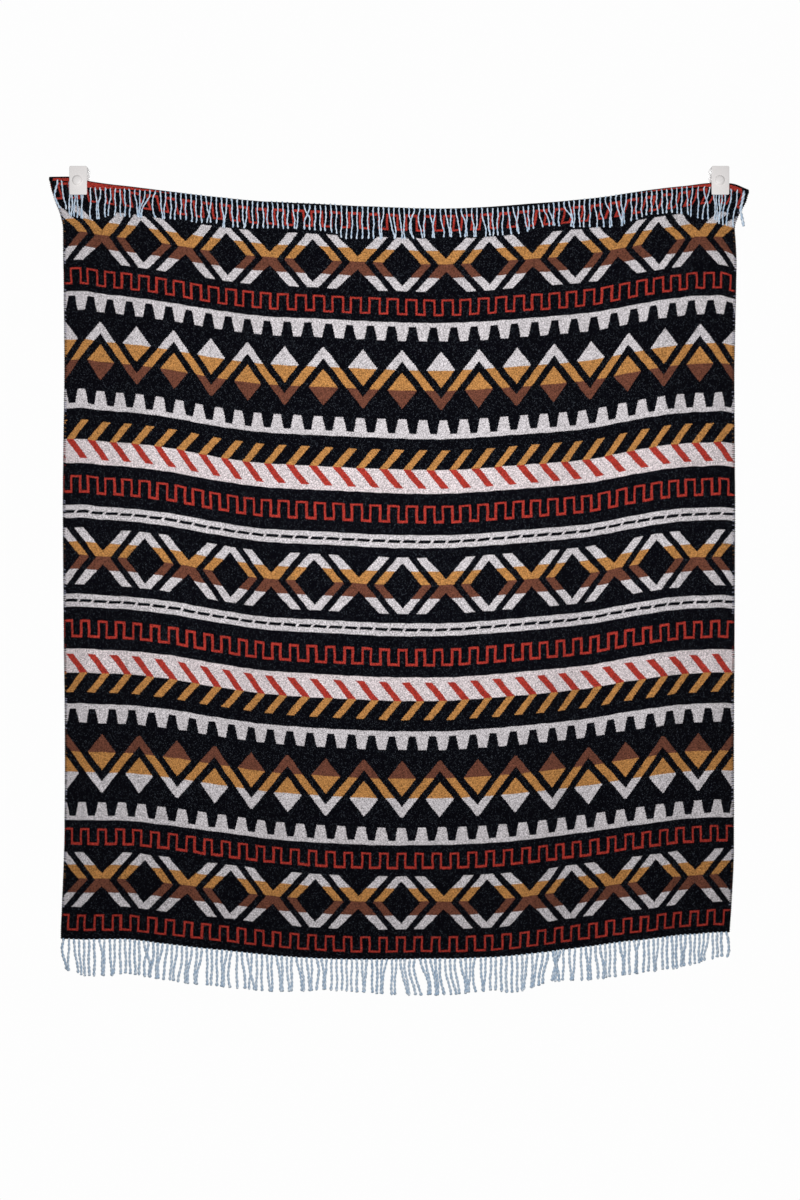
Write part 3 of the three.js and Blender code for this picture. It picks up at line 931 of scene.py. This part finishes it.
def plastic_material(name):
    """Pale moulded plastic with a faint grain."""
    material, tree, shader = new_material(name)
    place = tree.nodes.new("ShaderNodeTexCoord").outputs["Object"]
    cloud = noise(tree, place, 60.0, 3.0)
    tree.links.new(mixed(tree, cloud, PLASTIC, PLASTIC_CLOUD), shader.inputs["Base Color"])
    grain = noise(tree, place, 1400.0, 2.0)
    bump = tree.nodes.new("ShaderNodeBump")
    bump.inputs["Strength"].default_value = 0.25
    bump.inputs["Distance"].default_value = 0.08 * MM
    tree.links.new(grain.socket, bump.inputs["Height"])
    tree.links.new(bump.outputs[0], shader.inputs["Normal"])
    tree.links.new((cloud * 0.12 + 0.4).socket, shader.inputs["Roughness"])
    return material


def curve_between(a, b, c, d, t):
    """A smooth curve from b to c, whose slopes there come from a and d."""
    return b + 0.5 * t * (c - a + t * (2 * a - 5 * b + 4 * c - d + t * (3 * (b - c) + d - a)))


def charted(chart, u, v):
    """A value at a place of the cloth, through a chart with a column for each quarter of its height."""
    columns = np.array([read_table(chart, "u", name, u) for name in QUARTERS])
    before = 2 * columns[:1] - columns[1:2]
    after = 2 * columns[-1:] - columns[-2:-1]
    padded = np.concatenate([before, columns, after])
    place = np.clip(v, 0, 1) * (len(QUARTERS) - 1)
    i = np.minimum(place.astype(int), len(QUARTERS) - 2)
    t = place - i
    a, b, c, d = (np.take_along_axis(padded, (i + k)[None], 0)[0] for k in range(4))
    return curve_between(a, b, c, d, t)


def wobble(u, w, salt):
    turn = 2 * math.pi
    slow = np.sin(turn * (u / 83 + w / 57 + uneven(salt, 1))) * np.sin(turn * (w / 71 - u / 131))
    quick = np.sin(turn * (u / 29 + uneven(salt, 2))) * np.sin(turn * (w / 33 + uneven(salt, 3)))
    return LINE_WOBBLE * (slow + 0.6 * quick)


def sheet_rows():
    """The sheet as rows of points from the hem to the top, over the roll and down the lip.

    Returns the middle surface, the direction of the cloth's reverse from it, and the place of
    each point in the woven design.
    """
    u = np.linspace(-HALF_WIDTH, HALF_WIDTH, COLUMNS + 1)
    share = ROLL_RADIUS / (height_at(u, 0.0) - height_at(u, 1.0))
    lip = read_table(ACROSS, "u", "lip", u)
    black_from = ROLL_RADIUS * (1 - math.pi) - np.interp(u, RIM["u"], RIM["black"])
    middles = []
    backs = []
    places = []
    for row in range(ROWS + 1):
        v = share + (1 - share) * (1 - row / ROWS)
        middles.append(np.stack([sideways(u, v), depth_at(u, v), height_at(u, v)], axis=1))
        backs.append(np.tile([0.0, 1.0, 0.0], (len(u), 1)))
        down = v * CLOTH_LENGTH
        woven = down + DESIGN_SWING * np.cos(2 * math.pi * down / CLOTH_LENGTH)
        across = u - charted(DESIGN_PULL, u, v) + wobble(u, down, 5)
        woven = woven + charted(DESIGN_LIFT, u, v) + wobble(u, down, 9)
        places.append(np.stack([across, woven, black_from], axis=1))
    start = middles[-1]
    start_place = places[-1]
    centre = start - [0.0, ROLL_RADIUS, 0.0]
    for step in range(1, ROLL_STEPS + 1):
        angle = math.pi * step / ROLL_STEPS
        back = np.array([0.0, math.cos(angle), math.sin(angle)])
        middles.append(centre + back * ROLL_RADIUS)
        backs.append(np.tile(back, (len(u), 1)))
        place = start_place.copy()
        place[:, 1] = ROLL_RADIUS * (1 - angle)
        places.append(place)
    front = middles[-1]
    front_place = places[-1]
    for step in range(1, LIP_STEPS + 1):
        fall = np.zeros_like(front)
        fall[:, 2] = lip * step / LIP_STEPS
        middles.append(front - fall)
        backs.append(backs[-1])
        places.append(front_place - fall[:, [0, 2, 1]])
    return np.array(middles), np.array(backs), np.array(places)


def cloth_piece(middles, backs, places, materials):
    """The sheet as one closed skin of its real thickness."""
    rows, columns, _ = middles.shape
    face = middles - backs * HALF_THICK
    reverse = middles + backs * HALF_THICK
    outward = np.array([HALF_THICK, 0.0, 0.0])
    right = middles[:, -1:] + outward
    left = middles[:, :1] - outward
    rings = np.concatenate([face, right, reverse[:, ::-1], left], axis=1)
    design = np.concatenate([places, places[:, -1:], places[:, ::-1], places[:, :1]], axis=1)
    count = rings.shape[1]
    index = np.arange(rows * count).reshape(rows, count)
    here = index[:-1]
    above = index[1:]
    quads = np.stack([here, np.roll(here, -1, 1), np.roll(above, -1, 1), above], axis=-1)
    faces = quads.reshape(-1, 4).tolist()
    on_reverse = np.zeros(count, int)
    on_reverse[columns + 1 : 2 * columns] = 1
    kinds = np.tile(on_reverse, rows - 1).tolist()
    for ring in (index[0], index[-1]):
        for k in range(columns - 1):
            faces.append([ring[k], ring[k + 1], ring[2 * columns - 1 - k], ring[2 * columns - k]])
            kinds.append(0)
        faces.append([ring[columns - 1], ring[columns], ring[columns + 1]])
        faces.append([ring[0], ring[2 * columns], ring[2 * columns + 1]])
        kinds += [0, 0]
    thing = make_mesh("throw_cloth", rings.reshape(-1, 3), faces, materials, kinds)
    keep_vectors(thing, "design", design.reshape(-1, 3))
    return thing


def surface_depth(x, z):
    """How far forward the middle of the cloth stands at a place in front view."""
    u = (x - MIDDLE_X) * 1.02
    for _ in range(3):
        top = height_at(u, 0.0)
        v = np.clip((top - z) / (top - height_at(u, 1.0)), 0, 1)
        reach = np.where(u < 0, selvedge_reach(-1, v), selvedge_reach(1, v))
        u = np.clip((x - MIDDLE_X) / reach, -1, 1) * HALF_WIDTH
    return depth_at(u, v)


def smooth_paths(controls, stations):
    """A smooth curve through each strand's controls, at so many stations."""
    count = controls.shape[1]
    before = 2 * controls[:, :1] - controls[:, 1:2]
    after = 2 * controls[:, -1:] - controls[:, -2:-1]
    padded = np.concatenate([before, controls, after], axis=1)
    place = np.linspace(0, count - 1, stations)
    i = np.minimum(place.astype(int), count - 2)
    t = (place - i)[None, :, None]
    a, b, c, d = (padded[:, i + k] for k in range(4))
    return curve_between(a, b, c, d, t)


def tube_skin(paths, radii_of, sides):
    """Closed tubes round many paths. radii_of gives a radius for each strand, station and side."""
    strands, stations, _ = paths.shape
    along = np.gradient(paths, axis=1)
    along /= np.linalg.norm(along, axis=2, keepdims=True)
    first = np.array([1.0, 0.0, 0.0]) - along * along[:, :, :1]
    first /= np.linalg.norm(first, axis=2, keepdims=True)
    second = np.cross(along, first)
    angles = 2 * math.pi * np.arange(sides) / sides
    radii = radii_of(angles)
    cos = (np.cos(angles) * radii)[..., None]
    sin = (np.sin(angles) * radii)[..., None]
    rings = paths[:, :, None] + first[:, :, None] * cos + second[:, :, None] * sin
    points = rings.reshape(strands, stations * sides, 3)
    ends = np.stack([paths[:, 0], paths[:, -1]], axis=1)
    points = np.concatenate([points, ends], axis=1)
    ring = np.arange(sides)
    following = (ring + 1) % sides
    faces = []
    for station in range(stations - 1):
        low = station * sides
        quads = np.stack([ring + low, following + low, following + low + sides, ring + low + sides], 1)
        faces.append(quads)
    walls = np.concatenate(faces)
    last = (stations - 1) * sides
    start_cap = np.stack([following, ring, np.full(sides, stations * sides)], 1)
    end_cap = np.stack([ring + last, following + last, np.full(sides, stations * sides + 1)], 1)
    size = points.shape[1]
    made = []
    for strand in range(strands):
        made += (walls + strand * size).tolist()
        made += (start_cap + strand * size).tolist()
        made += (end_cap + strand * size).tolist()
    return points, made


def fringe_piece(name, paths, radius, salt, material):
    """A row of twisted two-ply strands. radius is a number for each strand."""
    strands, stations, _ = paths.shape
    number = np.arange(strands)
    steps = np.linalg.norm(np.diff(paths, axis=1), axis=2)
    walked = np.concatenate([np.zeros((strands, 1)), np.cumsum(steps, axis=1)], axis=1)
    share = walked / walked[:, -1:]
    turn = 2 * math.pi * (walked / TWIST_PITCH + uneven(number, salt + 11)[:, None])
    swell = 1 + 0.1 * np.sin(walked * 0.31 + 6.3 * uneven(number, salt + 12)[:, None])
    swell = swell + 0.22 * smooth_step(0.86, 0.97, share) - 0.5 * smooth_step(0.975, 1.0, share)
    swell = swell * (0.92 + 0.2 * uneven(number, salt + 13)[:, None])

    def radii(angles):
        lobes = np.cos(2 * (angles[None, None] - turn[:, :, None]))
        return radius[:, None, None] * (1 + PLY_DEPTH * lobes) * swell[:, :, None]

    points, faces = tube_skin(paths, radii, STRAND_SIDES)
    thing = make_mesh(name, points.reshape(-1, 3), faces, [material])
    angles = 2 * math.pi * np.arange(STRAND_SIDES) / STRAND_SIDES
    ply = 0.5 + 0.5 * np.cos(angles[None, None] - turn[:, :, None])
    length = np.repeat(walked[:, :, None], STRAND_SIDES, axis=2)
    own = np.broadcast_to(uneven(number, salt + 14)[:, None, None], ply.shape)
    marks = np.stack([ply, length + 90 * own, own], axis=-1).reshape(strands, -1, 3)
    marks = np.concatenate([marks, marks[:, :1], marks[:, -1:]], axis=1)
    keep_vectors(thing, "yarn", marks.reshape(-1, 3))
    return thing


def strand_lean(number, salt):
    """How a strand hangs: neighbours lean together in uneven groups."""
    group = np.sin(number * 0.9 + salt) + np.sin(number * 0.37 + 2 * salt)
    return LEAN_TOGETHER * group + LEAN_ALONE * (uneven(number, salt) - 0.5)


def strand_roots(chart, row):
    """Where the strands leave a row of the sheet, and the places across the cloth there."""
    number = np.arange(int(chart["number"][-1]) + 1)
    x = np.interp(number, chart["number"], chart["x"])
    u = np.interp(x, row[:, 0], np.linspace(-HALF_WIDTH, HALF_WIDTH, COLUMNS + 1))
    roots = np.stack([x, np.interp(x, row[:, 0], row[:, 1]), np.interp(x, row[:, 0], row[:, 2])], axis=1)
    return number, u, roots


def gathered(x, lean, chart):
    """Where each strand's end lies, how far down it gets there, and how far it bows aside."""
    ends = x + lean
    meets = np.ones(len(x))
    bows = np.zeros(len(x))
    for row in rows_of(chart):
        chosen = slice(int(row["first"]), int(row["last"]) + 1)
        ends[chosen] = row["end"] + (x[chosen] - x[chosen].mean()) * row["spread"]
        meets[chosen] = row["meet"]
        bows[chosen] = row["bow"]
    return ends, meets, bows


def across_at(station, x, ends, meets, bows):
    """How far across a strand hangs at a station from 0 at its root to 1 at its end."""
    toward = np.clip(station / meets, 0, 1)
    ease = toward * toward * (3 - 2 * toward)
    return x + (ends - x) * ease + bows * math.sin(math.pi * station)


def waver(number, station, salt, slow_size, quick_size):
    """A strand's own small bends."""
    turn = 2 * math.pi
    slow = np.sin(turn * (1.2 * station + uneven(number, salt + 6)))
    quick = np.sin(turn * (2.9 * station + uneven(number, salt + 7)))
    return (slow_size * slow + quick_size * quick) * min(station * 3, 1)


def top_paths(middles):
    """The upper strands leave the turned hem, or the fold itself where the hem hardly turns."""
    number, u, roots = strand_roots(TOP_ROOTS, middles[-1])
    x, y_root, z_root = roots.T
    over = 1 - smooth_step(1.2, 3.0, read_table(ACROSS, "u", "lip", u))
    fold = read_table(ACROSS, "u", "top", u)
    curl = smooth_step(CURLED[0] - 6, CURLED[0] + 6, u) * (1 - smooth_step(CURLED[1] - 6, CURLED[1] + 6, u))
    rise = 0.7 * uneven(number, 22) + 2.6 * curl
    hook = 2.2 * (uneven(number, 23) - 0.5) - 2.2 * curl
    ends, meets, bows = gathered(x, strand_lean(number, 1), TOP_GATHERS)
    stand = HALF_THICK + TOP_YARN + 0.2 + 1.5 * (number % 2) + 0.4 * uneven(number, 21)
    arch = [
        (0.0, -28.5, fold - 2.5, 0.5, z_root + 2.0),
        (1.0, -30.4, fold - 2.0 + rise, -0.4, z_root + 0.6),
        (0.6, -32.4, fold - 3.2 + rise * 0.8, -0.9, z_root - 1.4),
    ]
    controls = []
    for aside, y_over, z_over, forward, z_lip in arch:
        y = over * y_over + (1 - over) * (y_root + forward)
        z = over * z_over + (1 - over) * z_lip
        controls.append(np.stack([x + hook * aside, y, z], axis=1))
    start = over * (fold - 6.5) + (1 - over) * (z_root - 4.0)
    end = read_table(STRAND_ENDS, "u", "upper", u) + END_SPREAD * (2 * uneven(number, 6) - 1)
    for step in range(HANG_STATIONS):
        station = (step / (HANG_STATIONS - 1)) ** 0.9
        aside = across_at(station, x, ends, meets, bows) + waver(number, station, 1, 0.9, 0.25)
        z = start + (end - start) * station
        clear = 3.2 * over * (1 - smooth_step(0.0, 14.0, start - z))
        y = surface_depth(aside, z) - stand - clear
        controls.append(np.stack([aside, y, z], axis=1))
    return smooth_paths(np.stack(controls, axis=1), STRAND_STATIONS)


def bottom_paths(middles):
    """The lower strands hang free from the hem, many with their ends together."""
    number, u, roots = strand_roots(BOTTOM_ROOTS, middles[0])
    x, y_root, z_root = roots.T
    ends, meets, bows = gathered(x, strand_lean(number, 2), BOTTOM_GATHERS)
    length = read_table(STRAND_ENDS, "u", "lower", u) + END_SPREAD * (2 * uneven(number, 7) - 1)
    front = 1.3 * (number % 2)
    controls = []
    for step in range(HANG_STATIONS):
        station = step / (HANG_STATIONS - 1)
        aside = across_at(station, x, ends, meets, bows) + waver(number, station, 2, 0.7, 0.15)
        y = y_root - front * station + 0.8 * np.sin(2.2 * station + number * 2.4) * station
        z = z_root + 1.5 * (1 - station) - station * length
        controls.append(np.stack([aside, y, z], axis=1))
    return smooth_paths(np.stack(controls, axis=1), STRAND_STATIONS)


STITCH_PITCH = 3.8
STITCH_RADIUS = 0.85
STITCH_BITE = 3.2
STITCH_SIDES = 5
STITCH_SLANT = 0.9


def stitch_piece(middles, places, material):
    """Short overcast stitches round both selvedges, black and coloured by turns."""
    paths = []
    marks = []
    for side, column in ((-1, 0), (1, COLUMNS)):
        edge = middles[: ROWS + 1, column]
        inner = middles[: ROWS + 1, column - 2 * side]
        woven = places[: ROWS + 1, column, 1]
        lengths = np.concatenate([[0], np.cumsum(np.linalg.norm(np.diff(edge, axis=0), axis=1))])
        for k in range(int(lengths[-1] / STITCH_PITCH)):
            at = (k + 0.5 + 0.25 * (uneven(k, 41 + side) - 0.5)) * STITCH_PITCH
            place = np.array([np.interp(at, lengths, edge[:, axis]) for axis in range(3)])
            inward = np.array([np.interp(at, lengths, inner[:, axis]) for axis in range(3)]) - place
            inward /= np.linalg.norm(inward)
            bite = STITCH_BITE * (0.85 + 0.3 * uneven(k, 43 + side))
            lift = HALF_THICK + STITCH_RADIUS * 0.35
            half = [
                (bite, HALF_THICK - 0.5, STITCH_SLANT),
                (bite * 0.6, lift, STITCH_SLANT * 0.6),
                (0.3, lift * 0.95, 0.0),
                (-HALF_THICK - 0.3, 0.0, 0.0),
            ]
            path = [place + inward * inset + [0, -out, -slant] for inset, out, slant in half]
            path += [place + inward * inset + [0, out, slant] for inset, out, slant in half[2::-1]]
            paths.append(path)
            skipped = uneven(k, 45 + side) > 0.85
            marks.append((side * HALF_WIDTH, np.interp(at, lengths, woven), float((k + skipped) % 2)))

    def radii(angles):
        return np.full((1, 1, len(angles)), STITCH_RADIUS)

    points, faces = tube_skin(np.array(paths), radii, STITCH_SIDES)
    thing = make_mesh("edge_stitches", points.reshape(-1, 3), faces, [material])
    keep_vectors(thing, "design", np.repeat(marks, points.shape[1], axis=0))
    return thing


def box_object(name, low, high):
    mesh = bpy.data.meshes.new(name)
    work = bmesh.new()
    bmesh.ops.create_cube(work, size=1.0)
    middle = (Vector(low) + Vector(high)) / 2
    size = Vector(high) - Vector(low)
    for vert in work.verts:
        vert.co = Vector(c * s + m for c, s, m in zip(vert.co, size, middle)) * MM
    work.to_mesh(mesh)
    work.free()
    thing = bpy.data.objects.new(name, mesh)
    bpy.context.scene.collection.objects.link(thing)
    return thing


def apply_modifiers(thing):
    graph = bpy.context.evaluated_depsgraph_get()
    thing.data = bpy.data.meshes.new_from_object(thing.evaluated_get(graph))
    thing.modifiers.clear()


def rounded_outline(half_width, half_height, radius, steps=8):
    outline = []
    for quarter, (sx, sz) in enumerate(((1, -1), (1, 1), (-1, 1), (-1, -1))):
        for step in range(steps + 1):
            angle = math.pi / 2 * (quarter - 1 + step / steps)
            x = sx * (half_width - radius) + radius * math.cos(angle)
            z = sz * (half_height - radius) + radius * math.sin(angle)
            outline.append((x, z))
    return outline


def clip_piece(name, x, material):
    """A clip: a block on the wall, a slot for the cloth, and a front plate with a round button."""
    outline = rounded_outline(CLIP_WIDTH / 2, CLIP_HEIGHT / 2, CLIP_CORNER)
    points = [(px, 0.0, pz) for px, pz in outline] + [(px, -CLIP_DEPTH, pz) for px, pz in outline]
    count = len(outline)
    faces = [[k, (k + 1) % count, (k + 1) % count + count, k + count] for k in range(count)]
    faces.append(list(range(count)))
    faces.append(list(range(2 * count - 1, count - 1, -1)))
    clip = make_mesh(name, points, faces, [material])
    low = (-CLIP_WIDTH, SLOT_FRONT_Y, -CLIP_HEIGHT)
    cutter = box_object("slot_cutter", low, (CLIP_WIDTH, SLOT_BACK_Y, SLOT_TOP_Z))
    cut = clip.modifiers.new("slot", "BOOLEAN")
    cut.operation = "DIFFERENCE"
    cut.object = cutter
    cut.solver = "EXACT"
    soften = clip.modifiers.new("soft edges", "BEVEL")
    soften.width = CLIP_EDGE * MM
    soften.segments = 3
    soften.limit_method = "ANGLE"
    soften.angle_limit = math.radians(50)
    apply_modifiers(clip)
    bpy.data.objects.remove(cutter)

    # The button is a turned dome with a soft foot
    profile = [(0.0, -1.0), (BUTTON_RADIUS + 1.2, -1.0), (BUTTON_RADIUS + 1.0, 0.02)]
    profile += [(BUTTON_RADIUS + 0.45, 0.18), (BUTTON_RADIUS + 0.1, 0.7)]
    for step in range(9):
        angle = math.pi / 2 * step / 9
        dome = 0.8 + (BUTTON_RISE - 0.8) * math.sin(angle)
        profile.append((BUTTON_RADIUS * math.cos(angle) ** 0.8, dome))
    profile.append((0.0, BUTTON_RISE))
    sides = 40
    work = bmesh.new()
    work.from_mesh(clip.data)
    rings = []
    for radius, rise in profile:
        y = (-CLIP_DEPTH - rise) * MM
        if radius == 0.0:
            rings.append([work.verts.new((BUTTON_SHIFT_X * MM, y, 0.0))])
            continue
        ring = []
        for side in range(sides):
            angle = 2 * math.pi * side / sides
            place = (BUTTON_SHIFT_X + radius * math.cos(angle), 0.0, radius * math.sin(angle))
            ring.append(work.verts.new((place[0] * MM, y, place[2] * MM)))
        rings.append(ring)
    for below, above in zip(rings[:-1], rings[1:]):
        for side in range(sides):
            turn = (side + 1) % sides
            corners = [below[side % len(below)], below[turn % len(below)]]
            corners += [above[turn % len(above)], above[side % len(above)]]
            work.faces.new(list(dict.fromkeys(corners)))
    bmesh.ops.recalc_face_normals(work, faces=work.faces)
    for face in work.faces:
        face.smooth = True
    bmesh.ops.translate(work, verts=work.verts, vec=(x * MM, 0.0, 0.0))
    work.to_mesh(clip.data)
    work.free()
    clip.data.set_sharp_from_angle(angle=math.radians(35))
    return clip


def aim(thing, target):
    direction = Vector(target) - thing.location
    thing.rotation_euler = direction.to_track_quat("-Z", "Y").to_euler()


def add_camera():
    """The camera looks straight at the wall from 3.5 m in front of the cloth."""
    data = bpy.data.cameras.new("camera")
    camera = bpy.data.objects.new("camera", data)
    bpy.context.scene.collection.objects.link(camera)
    distance = 3.5
    frame_height = 2.184
    camera.location = (0.5843, HANGING_PLANE_Y * MM - distance, -0.7619)
    camera.rotation_euler = (math.pi / 2, 0.0, 0.0)
    data.lens = data.sensor_width * distance / frame_height
    data.clip_end = 50.0
    bpy.context.scene.camera = camera


def add_area(name, place, target, size, power):
    data = bpy.data.lights.new(name, "AREA")
    data.shape = "RECTANGLE"
    data.size = size[0]
    data.size_y = size[1]
    data.energy = power
    light = bpy.data.objects.new(name, data)
    bpy.context.scene.collection.objects.link(light)
    light.location = place
    light.visible_camera = False
    aim(light, target)


def add_studio():
    """A white room: pale floor, even surrounding light and soft lamps in front, above and behind."""
    world = bpy.data.worlds.new("white room")
    bpy.context.scene.world = world
    world.use_nodes = True
    tree = world.node_tree
    back = tree.nodes["Background"]
    back.inputs["Color"].default_value = (0.985, 0.985, 0.985, 1.0)
    fill = tree.nodes.new("ShaderNodeBackground")
    fill.inputs["Color"].default_value = (0.93, 0.96, 1.0, 1.0)
    fill.inputs["Strength"].default_value = 0.12
    path = tree.nodes.new("ShaderNodeLightPath")
    choose = tree.nodes.new("ShaderNodeMixShader")
    tree.links.new(path.outputs["Is Camera Ray"], choose.inputs["Fac"])
    tree.links.new(fill.outputs[0], choose.inputs[1])
    tree.links.new(back.outputs[0], choose.inputs[2])
    tree.links.new(choose.outputs[0], tree.nodes["World Output"].inputs["Surface"])

    add_area("front", (0.57, -1.37, -0.50), (0.57, 0.0, -0.50), (1.1, 0.5), 19.3)
    add_area("upper left", (-0.8, -1.5, 1.0), (0.4, 0.0, -0.4), (0.7, 0.7), 3.5)
    add_area("upper right", (2.0, -1.5, 1.0), (0.8, 0.0, -0.4), (0.7, 0.7), 3.5)
    add_area("behind", (0.6, 4.2, 0.2), (0.58, 0.0, -0.7), (1.1, 1.6), 55.0)

    floor_z = -2.2
    low = Vector((-3.4, -4.6, floor_z))
    high = Vector((4.6, 1.0, floor_z))
    corners = [(low.x, low.y), (high.x, low.y), (high.x, high.y), (low.x, high.y)]
    mesh = bpy.data.meshes.new("floor")
    mesh.from_pydata([(x, y, floor_z) for x, y in corners], [], [[0, 1, 2, 3]])
    floor = bpy.data.objects.new("floor", mesh)
    bpy.context.scene.collection.objects.link(floor)
    material, _, shader = new_material("pale floor")
    shader.inputs["Base Color"].default_value = FLOOR
    shader.inputs["Roughness"].default_value = 0.8
    mesh.materials.append(material)


def build():
    middles, backs, places = sheet_rows()
    wool = [cloth_material("wool_face", False), cloth_material("wool_reverse", True)]
    cloth = cloth_piece(middles, backs, places, wool)
    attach(cloth, "root")
    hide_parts("blanket_cloth")

    yarn = yarn_material("fringe_yarn")
    upper = top_paths(middles)
    lower = bottom_paths(middles)
    upper_radius = np.full(len(upper), TOP_YARN)
    upper_radius[0] *= 1.4
    upper_radius[-1] *= 2.0
    lower_radius = np.full(len(lower), BOTTOM_YARN)
    top = fringe_piece("throw_fringe_top", upper, upper_radius, 1, yarn)
    bottom = fringe_piece("throw_fringe_bottom", lower, lower_radius, 2, yarn)
    for fringe, node in ((top, "fringe_top"), (bottom, "fringe_bottom")):
        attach(fringe, "root")
        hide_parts(node)

    stitches = stitch_piece(middles, places, thread_material("edge_thread"))
    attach(stitches, "root")

    plastic = plastic_material("clip_plastic")
    for side, x in (("left", 0.0), ("right", CLIP_SPACING)):
        clip = clip_piece(f"wall_clip_{side}", x, plastic)
        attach(clip, "root")
        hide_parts(f"clip_{side}")


bpy.context.scene.view_settings.view_transform = "Standard"
build()
add_camera()
add_studio()
